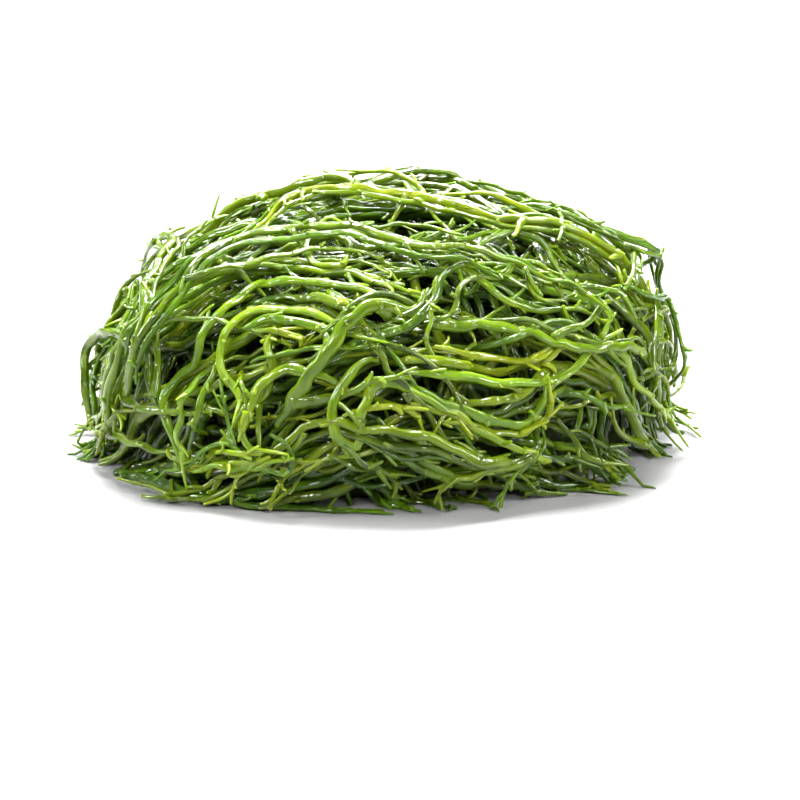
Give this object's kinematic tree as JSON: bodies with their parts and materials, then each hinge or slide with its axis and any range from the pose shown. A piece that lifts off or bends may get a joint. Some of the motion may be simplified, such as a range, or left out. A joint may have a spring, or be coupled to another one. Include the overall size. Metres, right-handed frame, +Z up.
{
  "type": "heap of gracilaria",
  "caption": "Rounded heap of wet branching seaweed strands, combed over a packed middle, resting flat on a surface.",
  "frame": {"origin": "middle of the heap's flat underside, on the surface that it rests on", "axes": "+X along the way that the strands are combed, to the right as seen in the picture; +Z up; the picture looks along +Y"},
  "size_m": [0.1692, 0.1377, 0.0758],
  "materials": {
    "bright_frond": "wet, glossy, translucent yellow-green seaweed",
    "green_frond": "wet, glossy, translucent green seaweed",
    "deep_frond": "wet, glossy, translucent dark green seaweed",
    "packed_tangle": "wet, glossy dark green seaweed, packed strand against strand"
  },
  "bodies": {
    "root": {"tangle": "packed_tangle", "thallus_01": "green_frond", "thallus_02": "deep_frond", "thallus_03": "bright_frond", "thallus_04": "green_frond", "thallus_05": "deep_frond", "thallus_06": "bright_frond", "thallus_07": "green_frond", "thallus_08": "deep_frond", "thallus_09": "bright_frond", "thallus_10": "green_frond", "thallus_11": "deep_frond", "thallus_12": "bright_frond", "thallus_13": "green_frond", "thallus_14": "deep_frond", "thallus_15": "bright_frond", "thallus_16": "green_frond", "thallus_17": "deep_frond", "thallus_18": "bright_frond", "thallus_19": "green_frond", "thallus_20": "deep_frond", "thallus_21": "bright_frond", "thallus_22": "green_frond", "thallus_23": "deep_frond", "thallus_24": "bright_frond", "thallus_25": "green_frond", "thallus_26": "deep_frond", "thallus_27": "bright_frond", "thallus_28": "green_frond", "thallus_29": "deep_frond", "thallus_30": "bright_frond", "thallus_31": "green_frond", "thallus_32": "deep_frond", "thallus_33": "bright_frond"}
  },
  "joints": []
}
